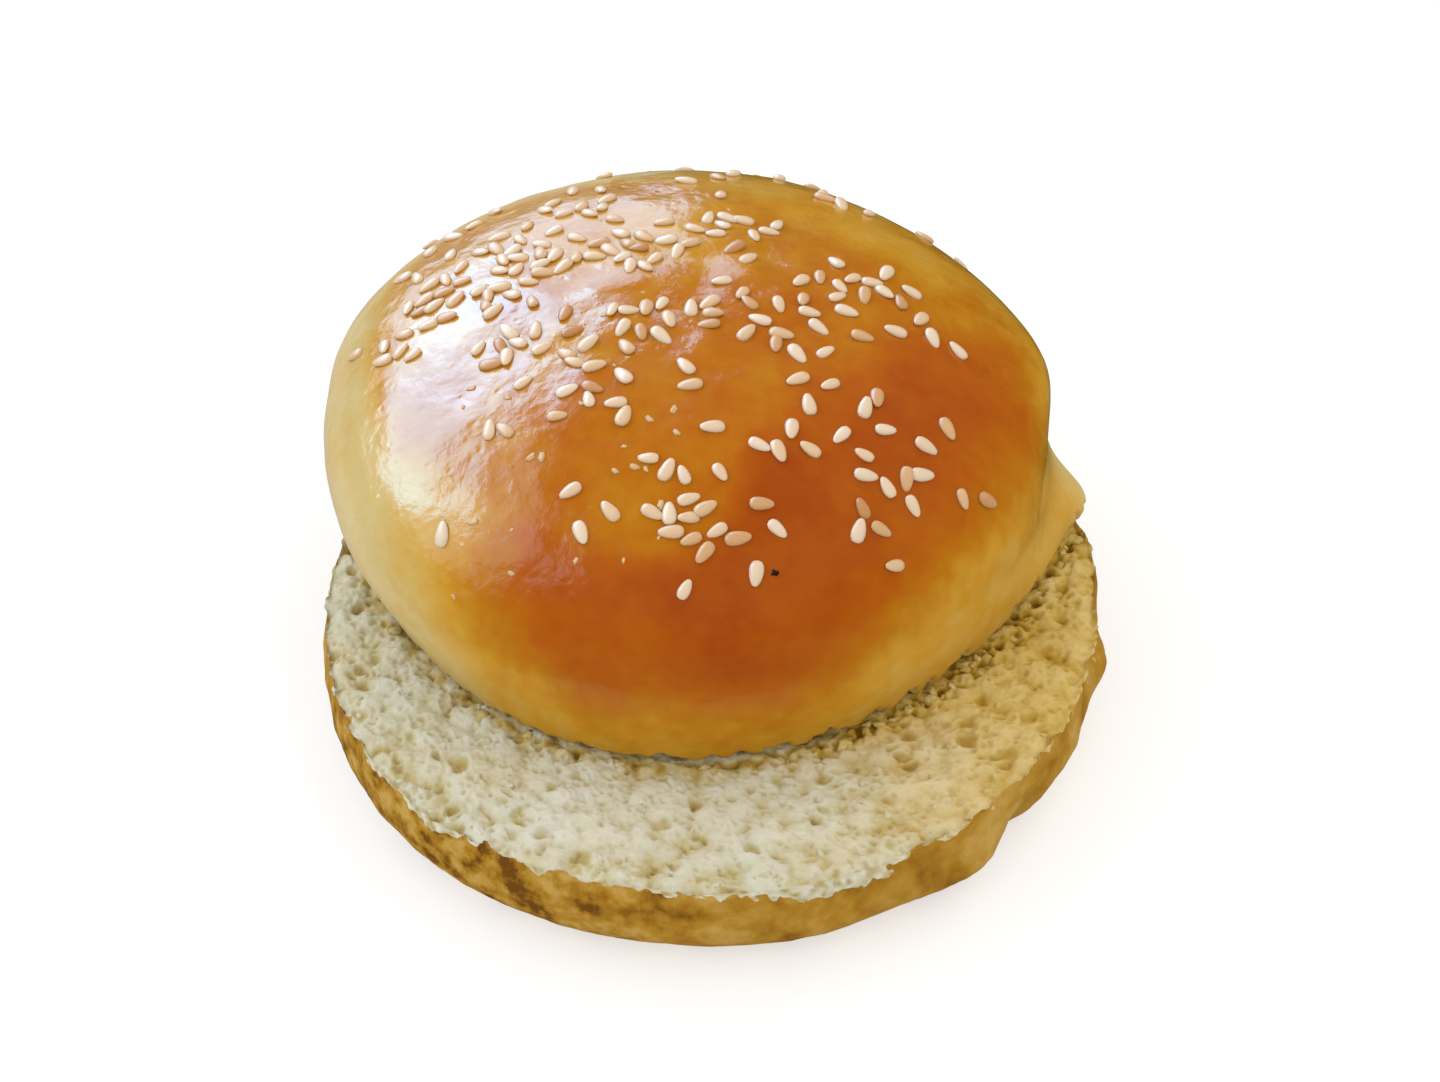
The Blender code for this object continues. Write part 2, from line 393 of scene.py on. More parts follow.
def open_pore(place, size, shut):
    """From 0 on a pore's wall to 1 in its middle. This share of the pores is shut."""
    near, cells = noise.voronoi(place / size)
    # The factor only moves the cells' middles apart, so each pore draws a number of its own.
    if noise.cell(cells[0] * 7.3) < shut:
        return 0
    return min(1, max(0, (near[1] - near[0] - PORE_WALL) / PORE_SLOPE))


def crumb_relief(points, shown):
    """How deep the torn crumb lies below its flat cut at each point, where it shows."""
    depth = np.zeros(len(points))
    bent = points.copy()
    for i in np.flatnonzero(shown):
        place = Vector((points[i, 0], points[i, 1], 0))
        warped = place + SMALL_BEND * noise.noise_vector(place / SMALL_BEND_SIZE)
        bent[i] = warped + WIDE_BEND * noise.noise_vector(place / WIDE_BEND_SIZE)
        wave = TEAR_DEPTH * (0.5 + 0.5 * noise.noise(place / TEAR_LENGTH))
        lump = LUMP_DEPTH * noise.voronoi(warped / LUMP_SIZE)[0][0] ** 2
        fine = FINE_DEPTH * open_pore(warped, FINE_PORE, FINE_SHUT)
        coarse = COARSE_DEPTH * open_pore(warped, COARSE_PORE, COARSE_SHUT)
        grain = GRAIN_DEPTH * noise.noise(place / GRAIN_SIZE)
        depth[i] = wave + lump + max(fine, coarse) + grain
    for x, y, radius in draw_bubbles():
        near = np.hypot(bent[:, 0] - x, bent[:, 1] - y) / radius
        sunk = radius * BUBBLE_DEPTH * np.sqrt(np.maximum(0, 1 - near**2))
        depth = np.maximum(depth, np.where(shown, sunk, 0))
    return depth


def past_rim(x, y):
    """How far places on the cut lie outside the crown's rim, and their angles round the crown."""
    x, y = x - CROWN_X, y - CROWN_Y
    angle = np.arctan2(y, x)
    return np.hypot(x, y) - RIM_RADIUS - swell(CROWN_LOBES, angle, 0 * x), np.degrees(angle)


def rubbed(off, angle):
    """From 0 to 1 near the crown's rim, where lifting it tore the crumb, most on the right."""
    by_rim = np.exp(-(((off - RUB_MIDDLE) / RIM_RUB) ** 2))
    return by_rim * (0.25 + 0.75 * near_angle(angle, RUB_ANGLE, RUB_SPREAD, 4))


def dryness_and_shade_at(x, y):
    """How yellow the crumb is at a place on the cut, white at the left and front: partly its own
    colour where it baked drier, partly painted shade, darker and warmer to the right.
    """
    return DRY_SHADE_LEAST + np.clip((x + 0.6 * y - DRY_SHADE_FROM) / DRY_SHADE_WIDTH, 0, 1)


# Vector noise starts from the clock unless it has a seed, and it bends the crumb's pores.
noise.seed_set(BEND_DRAW)
heel_outline = [(r, HEEL_HEIGHT) for r in steps(0, CRUMB_FROM, CORE_STEP)]
heel_outline += [(r, HEEL_HEIGHT) for r in steps(CRUMB_FROM, CUT_RADIUS, CRUMB_STEP)]
heel_outline += [(heel_side(z), z) for z in steps(HEEL_HEIGHT, 0, CRUST_STEP)]
heel_outline += [(FOOT_RADIUS * share, 0) for share in FOOT_RINGS]
hidden = draw_profile("heel_back", heel_outline, SHOWN_FROM + SHOWN_ARC)
turn(hidden, 360 - SHOWN_ARC, HIDDEN_STEPS)
heel = draw_profile("heel", heel_outline, SHOWN_FROM)
turn(heel, SHOWN_ARC, SHOWN_STEPS)
hidden.select_set(True)
bpy.ops.object.join()
close_turned()

# Past the frayed line that runs near the edge of the cut, the crumb ends and the crust begins.
points = points_of(heel)
reach = np.hypot(points[:, 0], points[:, 1])
angle = np.degrees(np.arctan2(points[:, 1], points[:, 0]))
cut = points[:, 2] > HEEL_HEIGHT - FLAT
down = np.where(cut, reach - CUT_RADIUS, HEEL_HEIGHT - points[:, 2])
near_edge = np.abs(down) < EDGE_REACH
fray = WIDE_FRAY * rough(points, WIDE_FRAY_SIZE, near_edge)
fray += SMALL_FRAY * rough(points, SMALL_FRAY_SIZE, near_edge) + EDGE_FRAY
for middle, spread, hang in TUFTS:
    fray += hang * MM * near_angle(angle, middle, spread, 2)
past = np.clip((down - fray) / EDGE_REACH, -1, 1)

# The cut sinks into pores and tears, and stands in pillows along its edge.
push_out(points, HEEL_LOBES, CUT_RADIUS)
roll = np.clip(1 - (CUT_RADIUS - reach) / EDGE_ROLL, 0, 1)
shown = cut & (reach > CRUMB_FROM - 1 * MM)
off_rim, rim_angle = past_rim(points[:, 0], points[:, 1])
torn = rubbed(off_rim, rim_angle) * shown
relief = crumb_relief(points, shown)
pits = np.clip((rough(points, PIT_SIZE, torn > 0.05) - 0.02) / 0.3, 0, 1)
relief += PIT_DEPTH * torn * pits
points[:, 2] -= np.where(cut, relief * (1 - 0.25 * roll) + EDGE_DROP * roll**2, 0)
by_edge = shown * np.clip(1 - (CUT_RADIUS - reach) / EDGE_REACH, 0, 1)
pillow = np.clip(rough(points, PILLOW_SIZE, by_edge > 0) + 0.1, 0, 1)
points[:, 2] += PILLOW_HEIGHT * by_edge * pillow

# The side is dented, and the tufts stand out from it.
side = ~cut & (points[:, 2] > 0.5 * MM)
tuft = side & (past < 0)
dent = SMALL_DENT * rough(points, SMALL_DENT_SIZE, side)
dent += WIDE_DENT * rough(points, WIDE_DENT_SIZE, side)
fluff = TUFT_THICKNESS + TUFT_FLUFF * rough(points, TUFT_FLUFF_SIZE, tuft)
stand = np.where(tuft, fluff * np.sqrt(np.clip(-past * 3, 0, 1)), 0) + np.where(side, dent, 0)
points[:, :2] *= 1 + (stand / np.maximum(reach, 1 * MM))[:, None]
put_points(heel, points)

# What the materials read: how deep, which darkens the crumb as painted shade; how far past the edge;
# how dry, with painted shade to the right; and how scorched.
# Along the crown's rim the crumb is painted darker and yellower: partly torn crumb, partly painted
# shade under the crown's edge.
rim_shade_and_stain = np.exp(-(((off_rim - RIM_SHADE_MIDDLE) / RIM_SHADE_WIDTH) ** 2)) * shown
rim_shade_and_stain *= np.clip(0.4 + rough(points, RIM_SHADE_SIZE, rim_shade_and_stain > 0.05), 0, 1)
hollow = np.where(tuft, 0.3 - 0.6 * rough(points, TUFT_FLUFF_SIZE, tuft), relief / DEEPEST)
# Yellower and darker to the right, partly drier crumb and partly painted shade, with random dry
# patches on top.
dryness_and_shade = dryness_and_shade_at(points[:, 0], points[:, 1]) + 0.25 * rough(points, DRY_PATCH, shown)
# By the rim, most on the right, the crumb is painted yellower still: torn crumb, and painted shade.
dryness_and_shade += 0.4 * torn + 0.7 * rim_shade_and_stain
# Deeper crumb, and the band by the rim, is painted darker and more olive: painted shade in pores,
# tears and bubbles. Tufts get random tones.
paint(heel, "depth", np.clip(hollow + 0.45 * rim_shade_and_stain, 0, 1))
paint(heel, "crust", past)
paint(heel, "dryness_and_shade", np.clip(dryness_and_shade, 0, 1))
paint(heel, "scorched", 0.5 + 1.5 * near_angle(angle, SCORCH_ANGLE, SCORCH_SPREAD, 2))
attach(heel, "root")
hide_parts("bun_heel")


def crumb_look(tree, place):
    """The colour and height of torn crumb: white walls, darker in the hollows as painted shade,
    yellower where it is drier and where painted shade falls.

    The pores are 0.8 mm apart, the patches 3.2 mm wide and the grain of the walls 0.5 mm.
    """
    depth = add(tree, "Attribute", {}, attribute_name="depth").outputs["Fac"]
    dryness_and_shade = add(tree, "Attribute", {}, attribute_name="dryness_and_shade").outputs["Fac"]
    pores = add(tree, "TexVoronoi", {"Vector": place, "Scale": 1 / (0.8 * MM)}, feature="SMOOTH_F1")
    patches = add(tree, "TexNoise", {"Vector": place, "Scale": 1 / (3.2 * MM), "Detail": 4})
    grain = add(tree, "TexNoise", {"Vector": place, "Scale": 1 / (0.5 * MM), "Detail": 3})
    # The middle of each pore, low in the bump, is painted darker: painted shade.
    walls = {0: pores.outputs["Distance"], 1: -0.16, 2: depth}
    fine = add(tree, "Math", walls, operation="MULTIPLY_ADD")
    uneven = {0: patches.outputs["Fac"], 1: 0.3, 2: fine.outputs[0]}
    mixed = add(tree, "Math", uneven, operation="MULTIPLY_ADD")
    # Both ramps run from light walls to dark, olive hollows: painted shade.
    white = add(
        tree,
        "ValToRGB",
        {"Fac": mixed.outputs[0]},
        stops=((0.1, "#d0d0c1"), (0.35, "#c4c3ae"), (0.62, "#b2a574"), (0.95, "#876822")),
    )
    # The yellow tones are darker too: drier crumb, and painted shade on the right side.
    yellow = add(
        tree,
        "ValToRGB",
        {"Fac": mixed.outputs[0]},
        stops=((0.1, "#d1bb7e"), (0.35, "#c6ac64"), (0.62, "#b0903a"), (0.95, "#7a560e")),
    )
    both = {"Fac": dryness_and_shade, "Color1": white.outputs["Color"], "Color2": yellow.outputs["Color"]}
    colour = add(tree, "MixRGB", both)
    rise = {0: pores.outputs["Distance"], 1: grain.outputs["Fac"]}
    high = add(tree, "Math", rise, operation="ADD")
    return colour.outputs["Color"], high.outputs[0]


def heel_crust_look(tree, place):
    """The colour and height of dry crust: golden, with brown spots where the tin was hot.

    The patches are 8 mm wide, the spots 2.8 mm and the grain of the skin 1 mm.
    """
    patchy = {"Vector": place, "Scale": 1 / (8 * MM), "Detail": 3, "Distortion": 0.4}
    patches = add(tree, "TexNoise", patchy)
    spotted = {"Vector": place, "Scale": 1 / (2.8 * MM), "Detail": 4, "Roughness": 0.6}
    spots = add(tree, "TexNoise", spotted)
    scorch = add(tree, "Attribute", {}, attribute_name="scorched").outputs["Fac"]
    centred = add(tree, "Math", {0: spots.outputs["Fac"], 1: 0.5}, operation="SUBTRACT")
    spotty = add(tree, "Math", {0: centred.outputs[0], 1: scorch}, operation="MULTIPLY")
    level = add(tree, "Math", {0: spotty.outputs[0], 1: patches.outputs["Fac"]}, operation="ADD")
    baked = add(tree, "Math", {0: scorch, 1: -0.06, 2: level.outputs[0]}, operation="MULTIPLY_ADD")
    colour = add(
        tree,
        "ValToRGB",
        {"Fac": baked.outputs[0]},
        stops=((0.16, "#6b4512"), (0.32, "#956a1c"), (0.48, "#a87f2a"), (0.68, "#b8954c")),
    )
    grain = add(tree, "TexNoise", {"Vector": place, "Scale": 1 / (1.0 * MM), "Detail": 5})
    rise = {0: spots.outputs["Fac"], 1: 1.5, 2: grain.outputs["Fac"]}
    high = add(tree, "Math", rise, operation="MULTIPLY_ADD")
    return colour.outputs["Color"], high.outputs[0]


def crumb_and_crust(name, crust_look, crust_roughness, coat):
    """Torn crumb, matt and a little see-through, that ends on a frayed line in baked crust.

    The crust is drier and smoother, with its own roughness. Where egg wash was brushed on it,
    that is a clear coat of the roughness given, as thick as the piece's wash attribute says,
    and gives the crust its gloss.
    """
    material, tree, shader = blank_material(name)
    place = add(tree, "TexCoord", {}).outputs["Object"]
    past = add(tree, "Attribute", {}, attribute_name="crust").outputs["Fac"]
    fray = add(tree, "TexNoise", {"Vector": place, "Scale": 1 / (0.6 * MM), "Detail": 3})
    line = add(tree, "Math", {0: fray.outputs["Fac"], 1: 0.25, 2: past}, operation="MULTIPLY_ADD")
    edge = add(tree, "MapRange", {"Value": line.outputs[0], "From Min": 0.1, "From Max": 0.15})
    crust = edge.outputs["Result"]
    crumb_colour, crumb_height = crumb_look(tree, place)
    crust_colour, crust_height = crust_look(tree, place)
    colour = add(tree, "MixRGB", {"Fac": crust, "Color1": crumb_colour, "Color2": crust_colour})
    high = add(tree, "MixRGB", {"Fac": crust, "Color1": crumb_height, "Color2": crust_height})
    bump = add(tree, "Bump", {"Height": high.outputs["Color"], "Strength": 0.4, "Distance": 0.3 * MM})
    matt = add(tree, "MapRange", {"Value": crust, "To Min": 0.9, "To Max": crust_roughness})
    tree.links.new(colour.outputs["Color"], shader.inputs["Base Color"])
    tree.links.new(matt.outputs["Result"], shader.inputs["Roughness"])
    tree.links.new(bump.outputs["Normal"], shader.inputs["Normal"])
    if coat:
        wash = add(tree, "Attribute", {}, attribute_name="wash").outputs["Fac"]
        gloss = add(tree, "Math", {0: crust, 1: wash}, operation="MULTIPLY")
        tree.links.new(gloss.outputs[0], shader.inputs["Coat Weight"])
        tree.links.new(bump.outputs["Normal"], shader.inputs["Coat Normal"])
        shader.inputs["Coat Roughness"].default_value = coat
    shader.inputs["Specular IOR Level"].default_value = 0.03
    shader.inputs["Subsurface Weight"].default_value = 0.15
    shader.inputs["Subsurface Radius"].default_value = (1.0, 0.7, 0.4)
    shader.inputs["Subsurface Scale"].default_value = 1.0 * MM
    return material


bread = crumb_and_crust("torn_crumb_in_dry_crust", heel_crust_look, 0.6, None)
heel.data.materials.append(bread)


# Crown
# The upper half of the bun: a dome of soft bread under a thin crust that was brushed with egg,
# so it baked glossy and brown on top, amber lower down and pale where the next bun touched it.

CROWN_RADIUS = 48.6 * MM
CROWN_BULGE_HEIGHT = 11.0 * MM
CROWN_HEIGHT = 35.5 * MM
DOME_POWER = 2.25
HALVES_GAP = 0.3 * MM
DOME_STEPS = 76
SIDE_STEP = 0.6 * MM
FINE_SIDE = 4.0 * MM
FINE_SIDE_STEP = 0.3 * MM
UNDER_FROM = 36.0 * MM
UNDER_STEP = 0.5 * MM
UNDER_RINGS = (36 * MM, 24 * MM, 12 * MM, 0)
CROWN_TURN_STEPS = 640
RIM_BAND = 4.5 * MM
RIM_WIDTH = 4.0 * MM
UNDER_BAND = 3.5 * MM
LEAST_TORN = 0.05 * MM
WIDE_JAG_SIZE = 3.0 * MM
SMALL_JAG_SIZE = 1.2 * MM
TORN_AWAY = 2.0 * MM
FULLY_TORN = 1.5 * MM
WIDE_SWELL = 0.3 * MM
WIDE_SWELL_SIZE = 14 * MM
SMALL_SWELL = 0.12 * MM
SMALL_SWELL_SIZE = 5 * MM
CRUST_FADE = 1.2 * MM


def dome_at(turn):
    """Radius and height of the dome, from 0 at its top to a quarter turn where it is fullest."""
    radius = CROWN_RADIUS * math.sin(turn) ** (2 / DOME_POWER)
    rise = (CROWN_HEIGHT - CROWN_BULGE_HEIGHT) * max(0.0, math.cos(turn)) ** (2 / DOME_POWER)
    return radius, CROWN_BULGE_HEIGHT + rise


def crown_side(height):
    """Radius of the crown's side below its fullest part, drawn in towards the rim."""
    fullness = math.sin(math.pi / 2 * height / CROWN_BULGE_HEIGHT)
    return RIM_RADIUS + (CROWN_RADIUS - RIM_RADIUS) * fullness


def smooth_step(value, low, high):
    """From 0 at the low value to 1 at the high one, level at both ends."""
    share = np.clip((value - low) / (high - low), 0, 1)
    return share * share * (3 - 2 * share)


def browned(angle, height, reach):
    """How brown the crust baked, from 0 for pale to 1: a dark belt, lowest at the front.

    It is low at the rim, at its peak in the belt, and at the top again a little lighter. Angles
    run from the right (0), through the back (90) and the left (180), to the front (-90).
    """
    front = near_angle(angle, -100, 40, 4)
    right = near_angle(angle, -25, 35, 6)
    behind = near_angle(angle, 145, 65, 6)
    low = 0.03 + 0.3 * near_angle(angle, -60, 65, 6) + 0.07 * front
    low += 0.14 * near_angle(angle, 110, 85, 4)
    peak = 0.12 + 0.85 * near_angle(angle, -45, 86, 6) + 0.2 * near_angle(angle, 172, 40, 4)
    peak += 0.3 * near_angle(angle, 60, 30, 4) - 0.35 * near_angle(angle, 22, 30, 4)
    middle = (20.5 - 10.5 * front + 11 * behind + 2 * right) * MM
    climb = 1 / (1 + np.exp(-(height - middle) / ((3.5 - 2 * behind) * MM)))
    belt = low + (peak - low) * climb
    top = 0.58 + 0.13 * np.minimum(reach / (14 * MM), 1) * np.cos(np.radians(angle + 50))
    start = (31 - 5 * near_angle(angle, -96, 18, 4) - 7 * near_angle(angle, 180, 75, 4)) * MM
    over = smooth_step(height, start, start + 3.4 * MM)
    return belt * (1 - over) + top * over


dome_turns = np.linspace(0, math.pi / 2, DOME_STEPS, endpoint=False)
crown_outline = [dome_at(dome_turn) for dome_turn in dome_turns]
crown_outline += [(crown_side(z), z) for z in steps(CROWN_BULGE_HEIGHT, FINE_SIDE, SIDE_STEP)]
crown_outline += [(crown_side(z), z) for z in steps(FINE_SIDE, 0, FINE_SIDE_STEP)]
crown_outline += [(r, 0) for r in steps(RIM_RADIUS, UNDER_FROM, UNDER_STEP)]
crown_outline += [(r, 0) for r in UNDER_RINGS]
crown = draw_profile("crown", crown_outline, 0)
turn(crown, 360, CROWN_TURN_STEPS)
close_turned()

# How high the crust tore away from the rim round it, in jags, most at the front right.
points = points_of(crown)
reach = np.hypot(points[:, 0], points[:, 1])
angle = np.degrees(np.arctan2(points[:, 1], points[:, 0]))
height = points[:, 2].copy()
cut = height < FLAT
rim = (height < RIM_BAND) & (reach > RIM_RADIUS - RIM_WIDTH)
ragged = 0.5 + 2.3 * near_angle(angle, -42, 42, 4) + 1.8 * near_angle(angle, 2, 16, 2)
ragged += 1.0 * near_angle(angle, -132, 18, 2)
across, along = np.cos(np.radians(angle)), np.sin(np.radians(angle))
around = np.stack([across, along, np.zeros(len(angle))], 1) * RIM_RADIUS
jag = 0.4 + 1.2 * rough(around, WIDE_JAG_SIZE, rim) + 1.2 * rough(around, SMALL_JAG_SIZE, rim)
torn_to = ragged * MM * np.maximum(jag, 0) + LEAST_TORN

# The rim flares, and below the tear it and the cut draw in to bare crumb.
push_out(points, CROWN_LOBES, CROWN_RADIUS)
under = np.where(cut, np.clip((reach - RIM_RADIUS + UNDER_BAND) / UNDER_BAND, 0, 1), 0)
open_side = np.where(rim & ~cut, np.sqrt(np.clip(1 - height / torn_to, 0, 1)), 0)
shrink = TORN_AWAY * np.minimum(torn_to / FULLY_TORN, 1) * np.maximum(open_side, under**2)
points[:, :2] *= 1 - (shrink / np.maximum(reach, 1 * MM))[:, None]
relief = crumb_relief(points, cut & (reach > UNDER_FROM)) * (1 - under)
points[:, 2] += np.where(cut, relief + 0.5 * torn_to * under, 0)

# The skin above swells a little unevenly, and the crown goes to its place on the heel.
skin = ~cut & (height > torn_to)
swollen = WIDE_SWELL * rough(points, WIDE_SWELL_SIZE, skin)
swollen += SMALL_SWELL * rough(points, SMALL_SWELL_SIZE, skin)
swollen *= smooth_step(height, 1 * MM, 5 * MM)
points *= 1 + (swollen / np.maximum(reach, 10 * MM))[:, None]
points += (CROWN_X, CROWN_Y, HEEL_HEIGHT + HALVES_GAP)
put_points(crown, points)

# What the material reads: how deep, dry, far past the tear, brown and thickly washed it is.
# The cut is painted darker the deeper it lies, and the torn side darker towards its bottom edge:
# painted shade.
paint(crown, "depth", np.where(cut, np.clip(relief / DEEPEST, 0, 1), 0.05 + 0.15 * open_side))
paint(crown, "dryness_and_shade", np.full(len(points), 0.8))
paint(crown, "crust", np.where(cut, -1, np.clip((height - torn_to) / CRUST_FADE, -1, 1)))
paint(crown, "browning", browned(angle, height, reach))
paint(crown, "wash", 0.15 + 0.85 * smooth_step(height, 5 * MM, 15 * MM))
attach(crown, "root")
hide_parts("bun_crown")


def crown_crust_look(tree, place):
    """The colour and height of egg-washed crust: a mottled brown skin with wrinkles and pocks.

    The blotches are 11 mm wide, the flecks 2.2 mm, the wrinkles 1.5 mm, the orange peel under
    them 4.5 mm, and the pocks 3.4 mm apart.
    """
    browning = add(tree, "Attribute", {}, attribute_name="browning").outputs["Fac"]
    blotch = add(tree, "TexNoise", {"Vector": place, "Scale": 1 / (11 * MM), "Detail": 3})
    fleck = add(tree, "TexNoise", {"Vector": place, "Scale": 1 / (2.2 * MM), "Detail": 4})
    blotched = {0: blotch.outputs["Fac"], 1: 0.5, 2: browning}
    uneven = add(tree, "Math", blotched, operation="MULTIPLY_ADD")
    flecked = {0: fleck.outputs["Fac"], 1: 0.2, 2: uneven.outputs[0]}
    speckled = add(tree, "Math", flecked, operation="MULTIPLY_ADD")
    level = add(tree, "Math", {0: speckled.outputs[0], 1: 0.35}, operation="SUBTRACT")
    tone = add(
        tree,
        "ValToRGB",
        {"Fac": level.outputs[0]},
        stops=(
            (0.0, "#c9b880"),
            (0.25, "#c7a24f"),
            (0.42, "#c28f26"),
            (0.58, "#b3730a"),
            (0.78, "#ab5806"),
            (1.0, "#9e4404"),
        ),
    )
    wrinkly = {"Vector": place, "Scale": 1 / (1.5 * MM), "Detail": 4, "Roughness": 0.6}
    wrinkle = add(tree, "TexNoise", wrinkly)
    peel = add(tree, "TexNoise", {"Vector": place, "Scale": 1 / (4.5 * MM), "Detail": 2})
    pocks = add(tree, "TexVoronoi", {"Vector": place, "Scale": 1 / (3.4 * MM)})
    hole = {"Value": pocks.outputs["Distance"], "From Max": 0.17, "To Min": -0.5, "To Max": 0}
    pock = add(tree, "MapRange", hole)
    folds = {0: wrinkle.outputs["Fac"], 1: 0.8, 2: pock.outputs["Result"]}
    creased = add(tree, "Math", folds, operation="MULTIPLY_ADD")
    rise = {0: peel.outputs["Fac"], 1: 2.2, 2: creased.outputs[0]}
    high = add(tree, "Math", rise, operation="MULTIPLY_ADD")
    return tone.outputs["Color"], high.outputs[0]


crown.data.materials.append(crumb_and_crust("egg_washed_crust", crown_crust_look, 0.5, 0.16))


# Sesame
# Hulled seeds of sesame, pale flat teardrops about 3 mm long, strewn in pinches over the egg
# wash and baked on to it, so each one lies sunk nearly to its middle in the crust.

SEED_DRAW = 11
SEED_FACES_ROUND = 10
SEED_FACES_ALONG = 7
SEED_LENGTH = 3.1 * MM
SEED_WIDTH = 1.7 * MM
SEED_THICKNESS = 1.0 * MM
SEED_TAPER = 0.5
SEED_BLUNTNESS = 0.1
SEED_SIZES = (0.85, 1.1)
SEED_TILT = 9
SEED_LIFT = 0.2 * MM
SEED_SPACING = 1.9 * MM
SEED_LIMIT = 45.0 * MM
SEED_TRIES = 40
TOAST_DRAW = 5
# A pinch's place from the crown's middle and its spread, in mm, and how many seeds it has.
PINCHES = (
    (0, -36, 3.3, 16),
    (4, -40, 6.0, 3),
    (23, -37, 2.6, 3),
    (28, -26, 4.0, 11),
    (39, -25, 1.0, 1),
    (18, -18, 3.6, 4),
    (27, -1, 5.0, 8),
    (9, -22, 3.6, 6),
    (-1, -19, 4.0, 4),
    (-11, -17, 2.8, 7),
    (-22, -21, 2.0, 2),
    (-15, -33, 3.0, 2),
    (-30, -31, 0.5, 1),
    (3, -5, 2.0, 5),
    (12, -2, 3.2, 10),
    (12, -11, 1.2, 2),
    (19, 4, 3.4, 10),
    (6, 12, 3.6, 14),
    (9, 26, 8.0, 6),
    (-6, -5, 2.6, 9),
    (-15, -9, 2.5, 8),
    (-23, -8, 2.0, 6),
    (-6, 11, 3.2, 11),
    (-16, 10, 3.0, 9),
    (-23, 11, 2.8, 9),
    (-22, 3, 2.8, 9),
    (-31, 5, 3.0, 11),
    (-37, -3, 3.4, 7),
    (-15, 22, 4.5, 11),
    (-27, 20, 5.0, 8),
    (-8, 36, 6.0, 4),
    (12, 37, 6.0, 4),
    (28, 22, 6.0, 4),
)


def draw_seeds():
    """Plan place, heading, tilt and size of each seed, no two closer than the spacing."""
    draw = random.Random(SEED_DRAW)
    seeds = []
    for x, y, spread, count in PINCHES:
        for _ in range(count):
            for _ in range(SEED_TRIES):
                place = Vector((draw.gauss(x, spread), draw.gauss(y, spread))) * MM
                clear = all((place - seed[0]).length > SEED_SPACING for seed in seeds)
                if clear and place.length < SEED_LIMIT:
                    break
            else:
                continue
            heading = draw.uniform(0, math.tau)
            tilt = math.radians(draw.uniform(-SEED_TILT, SEED_TILT))
            size = draw.uniform(*SEED_SIZES)
            seeds.append((place, heading, tilt, size))
    return seeds


bpy.ops.object.select_all(action="DESELECT")
bpy.ops.mesh.primitive_uv_sphere_add(
    segments=SEED_FACES_ROUND,
    ring_count=SEED_FACES_ALONG,
    radius=0.5,
    rotation=(0, math.pi / 2, 0),
)
seed = bpy.context.object
bpy.ops.object.transform_apply(location=True, rotation=True, scale=True)
bpy.ops.object.shade_smooth()
points = points_of(seed)
blunt = np.maximum(1 - 4 * points[:, 0] ** 2, 0.02) ** -SEED_BLUNTNESS
full = (1 - SEED_TAPER * points[:, 0]) * blunt
points[:, 0] *= SEED_LENGTH
points[:, 1] *= SEED_WIDTH * full
points[:, 2] *= SEED_THICKNESS * full
put_points(seed, points)


def over_crown(x, y):
    """A point high over this place on the crown, which is counted from its middle."""
    return Vector((CROWN_X + x, CROWN_Y + y, 1))


def lay(shape, base, above, turned, lift):
    """A copy of the shape, turned, then set upright on the base below a point, lifted a little."""
    _, spot, normal, _ = base.ray_cast(above, Vector((0, 0, -1)))
    upright = normal.to_track_quat("Z", "Y").to_matrix().to_4x4()
    copy = shape.copy()
    copy.data = shape.data.copy()
    copy.data.transform(Matrix.Translation(spot + normal * lift) @ upright @ turned)
    bpy.context.scene.collection.objects.link(copy)
    return copy


def gather(copies, name):
    """Joins copies of one kind into one piece, which rides on the bun."""
    bpy.ops.object.select_all(action="DESELECT")
    for copy in copies:
        copy.select_set(True)
    bpy.context.view_layer.objects.active = copies[0]
    bpy.ops.object.join()
    bpy.context.object.name = name
    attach(bpy.context.object, "root")
    return bpy.context.object


bpy.context.view_layer.update()
tones = random.Random(TOAST_DRAW)
laid = []
for place, heading, tilt, size in draw_seeds():
    above = over_crown(place.x, place.y)
    lie = Matrix.Rotation(heading, 4, "Z") @ Matrix.Rotation(tilt, 4, "Y") @ Matrix.Scale(size, 4)
    copy = lay(seed, crown, above, lie, SEED_LIFT)
    paint(copy, "toast", [tones.random()] * len(copy.data.vertices))
    laid.append(copy)
bpy.data.objects.remove(seed)
seeds = gather(laid, "sesame_seeds")


def sesame_material():
    """Hulled sesame: waxy and cream white, so light glows in it, a few seeds toasted golden."""
    material, tree, shader = blank_material("hulled_sesame")
    toast = add(tree, "Attribute", {}, attribute_name="toast").outputs["Fac"]
    tone = add(
        tree,
        "ValToRGB",
        {"Fac": toast},
        stops=((0.0, "#dccab2"), (0.7, "#d6b995"), (0.93, "#caa173"), (1.0, "#b9844c")),
    )
    tree.links.new(tone.outputs["Color"], shader.inputs["Base Color"])
    shader.inputs["Roughness"].default_value = 0.38
    shader.inputs["Subsurface Weight"].default_value = 0.25
    shader.inputs["Subsurface Scale"].default_value = 0.6 * MM
    return material


seeds.data.materials.append(sesame_material())


# Specks
# Small things that stuck in the egg wash: a flake of flour that burnt black at the front, and
# pale scraps of sesame husk, most of them at the front left.

LUMP_PUSH = 0.9
LUMP_SHARE = 0.4
BURNT_SIZE = 0.9 * MM
BURNT_X = 10.6 * MM
BURNT_Y = -40.7 * MM
HUSKS_DRAW = 8
HUSKS = 26
HUSK_SIZE = 1 * MM
HUSK_SIZES = (0.5, 1.2)
HUSK_PLACE = (-14, -30)
HUSK_SPREAD = 10
HUSK_LIFT = 0.03 * MM


